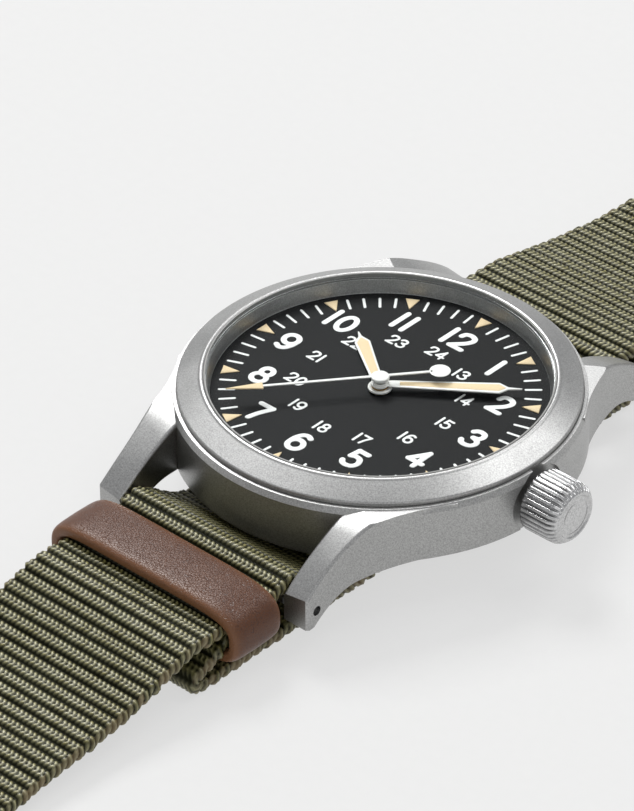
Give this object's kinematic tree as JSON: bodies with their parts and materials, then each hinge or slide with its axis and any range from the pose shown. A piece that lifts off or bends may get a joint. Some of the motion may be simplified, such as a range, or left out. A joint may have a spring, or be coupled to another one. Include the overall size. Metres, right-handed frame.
{
  "type": "wristwatch",
  "caption": "Round hand-wound wristwatch with a black dial, three hands and a fluted winding knob, on a pass-through ribbed webbing strap with leather loops and a pin buckle, laid open.",
  "frame": {"origin": "on the dial axis at the resting plane, the underside of the strap below the back", "axes": "+Z out of the dial, +Y towards twelve o'clock and the buckle end, +X towards the winding knob"},
  "size_m": [0.0424, 0.2814, 0.0121],
  "materials": {
    "blasted_steel": "fine bead-blasted satin stainless steel",
    "back_steel": "circular-brushed stainless steel",
    "crown_steel": "satin stainless steel with bright tooth edges",
    "bar_steel": "plain drawn stainless steel",
    "buckle_steel": "satin stainless steel",
    "mineral_glass": "clear polished flat glass",
    "gasket": "black seal",
    "clear_gasket": "translucent white seal",
    "rehaut_grey": "matte dark grey",
    "dial_black": "matte black paint with white print",
    "casing_ring": "grey moulded ring",
    "plate_nickel": "nickel-plated satin",
    "gilt_brass": "gilt brass",
    "polished_steel": "polished hardened steel",
    "spring_alloy": "bluish spring alloy",
    "ruby": "clear red synthetic ruby",
    "hand_white": "white and cream painted steel",
    "webbing": "ribbed olive nylon webbing",
    "leather": "brown grained leather with burnished edges"
  },
  "bodies": {
    "watch_head": {"case_body": "blasted_steel", "bezel": "blasted_steel", "crystal": "mineral_glass", "crystal_gasket": "clear_gasket", "rehaut_ring": "rehaut_grey", "dial": "dial_black", "movement_ring": "casing_ring", "case_back": "back_steel", "case_back_gasket": "gasket", "crown_tube": "crown_steel", "spring_bar_tubes": "bar_steel", "main_plate": "plate_nickel", "barrel_bridge": "plate_nickel", "train_bridge": "plate_nickel", "balance_cock": "plate_nickel", "pallet_bridge": "plate_nickel", "jewels": "ruby", "bridge_screws": "polished_steel", "hairspring": "spring_alloy", "strap_under": "webbing", "short_strap_under": "webbing"},
    "winding_pinion_part": {"winding_pinion": "polished_steel"},
    "crown_part": {"crown": "crown_steel", "winding_stem": "polished_steel"},
    "sliding_pinion_part": {"sliding_pinion": "polished_steel"},
    "setting_lever_part": {"setting_lever": "polished_steel"},
    "yoke_part": {"yoke": "polished_steel"},
    "crown_wheel_part": {"crown_wheel": "polished_steel"},
    "ratchet_part": {"ratchet_wheel": "polished_steel", "barrel_arbor": "polished_steel"},
    "click_part": {"click": "polished_steel"},
    "barrel_part": {"barrel": "gilt_brass", "mainspring": "spring_alloy"},
    "minute_part": {"centre_wheel": "gilt_brass", "cannon_pinion": "polished_steel", "minute_hand": "hand_white"},
    "third_part": {"third_wheel": "gilt_brass"},
    "seconds_part": {"seconds_wheel": "gilt_brass", "seconds_hand": "hand_white"},
    "escape_part": {"escape_wheel": "polished_steel"},
    "pallet_part": {"pallet_fork": "polished_steel"},
    "balance_part": {"balance_wheel": "gilt_brass"},
    "minute_wheel_part": {"minute_wheel": "gilt_brass"},
    "hour_part": {"hour_wheel": "gilt_brass", "hour_hand": "hand_white"},
    "pin_12_crown": {"bar_pin_12_crown": "bar_steel"},
    "pin_12_far": {"bar_pin_12_far": "bar_steel"},
    "pin_6_crown": {"bar_pin_6_crown": "bar_steel"},
    "pin_6_far": {"bar_pin_6_far": "bar_steel"},
    "strap_12_part": {"strap_12": "webbing", "short_strap_12": "webbing"},
    "strap_12_end": {"strap_12_outer": "webbing", "buckle_keeper_inner": "leather", "buckle_keeper_outer": "leather"},
    "strap_6_part": {"strap_6": "webbing", "short_strap_6": "webbing", "strap_keeper": "leather"},
    "strap_6_end": {"strap_6_outer": "webbing"},
    "buckle_part": {"buckle_frame": "buckle_steel"},
    "tongue_part": {"buckle_tongue": "buckle_steel"}
  },
  "joints": [
    {"name": "crown_turn", "type": "hinge", "parent": "watch_head", "child": "winding_pinion_part", "pos_m": [0.0095, 0, 0.0073], "axis": [1, 0, 0], "continuous": true},
    {"name": "crown_pull", "type": "slide", "parent": "winding_pinion_part", "child": "crown_part", "axis": [1, 0, 0], "range_m": [0, 0.001]},
    {"name": "sliding_pinion_shift", "type": "slide", "parent": "winding_pinion_part", "child": "sliding_pinion_part", "axis": [1, 0, 0], "range_m": [-0.00085, 0.00005]},
    {"name": "setting_lever_swing", "type": "hinge", "parent": "watch_head", "child": "setting_lever_part", "pos_m": [0.01095, -0.0036, 0.0082], "axis": [0, 0, 1], "range_deg": [-17, 1]},
    {"name": "yoke_swing", "type": "hinge", "parent": "watch_head", "child": "yoke_part", "pos_m": [0.00807, 0.0036, 0.0082], "axis": [0, 0, 1], "range_deg": [-17, 1]},
    {"name": "crown_wheel_turn", "type": "hinge", "parent": "watch_head", "child": "crown_wheel_part", "pos_m": [0.0074, 0, 0.006], "axis": [0, 0, 1], "continuous": true},
    {"name": "ratchet_turn", "type": "hinge", "parent": "watch_head", "child": "ratchet_part", "pos_m": [0.00281, 0.00528, 0.006], "axis": [0, 0, 1], "continuous": true},
    {"name": "click_lift", "type": "hinge", "parent": "watch_head", "child": "click_part", "pos_m": [-0.00261, 0.00841, 0.006], "axis": [0, 0, 1], "range_deg": [-10, 0]},
    {"name": "seconds_turn", "type": "hinge", "parent": "watch_head", "child": "seconds_part", "pos_m": [0, 0, 0.007], "axis": [0, 0, 1], "continuous": true},
    {"name": "minute_turn", "type": "hinge", "parent": "watch_head", "child": "minute_part", "pos_m": [0, 0, 0.008], "axis": [0, 0, 1], "continuous": true},
    {"name": "hour_turn", "type": "hinge", "parent": "watch_head", "child": "hour_part", "pos_m": [0, 0, 0.0094], "axis": [0, 0, 1], "continuous": true},
    {"name": "minute_wheel_turn", "type": "hinge", "parent": "watch_head", "child": "minute_wheel_part", "pos_m": [-0.00216, 0, 0.0092], "axis": [0, 0, 1], "continuous": true},
    {"name": "third_turn", "type": "hinge", "parent": "watch_head", "child": "third_part", "pos_m": [0.00154, -0.00423, 0.0075], "axis": [0, 0, 1], "continuous": true},
    {"name": "escape_turn", "type": "hinge", "parent": "watch_head", "child": "escape_part", "pos_m": [-0.00342, -0.00124, 0.0073], "axis": [0, 0, 1], "continuous": true},
    {"name": "barrel_turn", "type": "hinge", "parent": "watch_head", "child": "barrel_part", "pos_m": [0.00281, 0.00528, 0.0076], "axis": [0, 0, 1], "continuous": true},
    {"name": "pallet_rock", "type": "hinge", "parent": "watch_head", "child": "pallet_part", "pos_m": [-0.00463, -0.00344, 0.0073], "axis": [0, 0, 1], "range_deg": [-5, 5]},
    {"name": "balance_swing", "type": "hinge", "parent": "watch_head", "child": "balance_part", "pos_m": [-0.0062, -0.0063, 0.0066], "axis": [0, 0, 1], "range_deg": [-150, 150]},
    {"name": "pin_12_crown_press", "type": "slide", "parent": "watch_head", "child": "pin_12_crown", "axis": [-1, 0, 0], "range_m": [0, 0.002], "stiffness_N_per_m": 300},
    {"name": "pin_12_far_press", "type": "slide", "parent": "watch_head", "child": "pin_12_far", "axis": [1, 0, 0], "range_m": [0, 0.002], "stiffness_N_per_m": 300},
    {"name": "pin_6_crown_press", "type": "slide", "parent": "watch_head", "child": "pin_6_crown", "axis": [-1, 0, 0], "range_m": [0, 0.002], "stiffness_N_per_m": 300},
    {"name": "pin_6_far_press", "type": "slide", "parent": "watch_head", "child": "pin_6_far", "axis": [1, 0, 0], "range_m": [0, 0.002], "stiffness_N_per_m": 300},
    {"name": "strap_12_swing", "type": "hinge", "parent": "watch_head", "child": "strap_12_part", "pos_m": [0, 0.0224, 0.0042], "axis": [1, 0, 0], "range_deg": [-60, 50]},
    {"name": "strap_12_bend", "type": "hinge", "parent": "strap_12_part", "child": "strap_12_end", "pos_m": [0, 0.066, 0.00193], "axis": [1, 0, 0], "range_deg": [-60, 30]},
    {"name": "strap_6_swing", "type": "hinge", "parent": "watch_head", "child": "strap_6_part", "pos_m": [0, -0.0224, 0.0042], "axis": [-1, 0, 0], "range_deg": [-60, 50]},
    {"name": "strap_6_bend", "type": "hinge", "parent": "strap_6_part", "child": "strap_6_end", "pos_m": [0, -0.062, 0.00092], "axis": [-1, 0, 0], "range_deg": [-60, 40]},
    {"name": "buckle_swing", "type": "hinge", "parent": "strap_12_end", "child": "buckle_part", "pos_m": [0, 0.095, 0.0024], "axis": [1, 0, 0], "range_deg": [-60, 70]},
    {"name": "tongue_lift", "type": "hinge", "parent": "buckle_part", "child": "tongue_part", "pos_m": [0, 0.095, 0.0024], "axis": [1, 0, 0], "range_deg": [0, 50]}
  ],
  "couplings": [
    {"joint": "crown_wheel_turn", "follows": "crown_turn", "ratio": 0.54545},
    {"joint": "ratchet_turn", "follows": "crown_turn", "ratio": -0.25},
    {"joint": "sliding_pinion_shift", "follows": "crown_pull", "ratio": -0.8},
    {"joint": "setting_lever_swing", "follows": "crown_pull", "rad_per_m": -277.78},
    {"joint": "yoke_swing", "follows": "crown_pull", "rad_per_m": -266.67},
    {"joint": "minute_turn", "follows": "seconds_turn", "ratio": 0.016667},
    {"joint": "hour_turn", "follows": "seconds_turn", "ratio": 0.0013889},
    {"joint": "minute_wheel_turn", "follows": "seconds_turn", "ratio": -0.0055556},
    {"joint": "third_turn", "follows": "seconds_turn", "ratio": -0.13333},
    {"joint": "escape_turn", "follows": "seconds_turn", "ratio": -12},
    {"joint": "barrel_turn", "follows": "seconds_turn", "ratio": -0.0025}
  ]
}
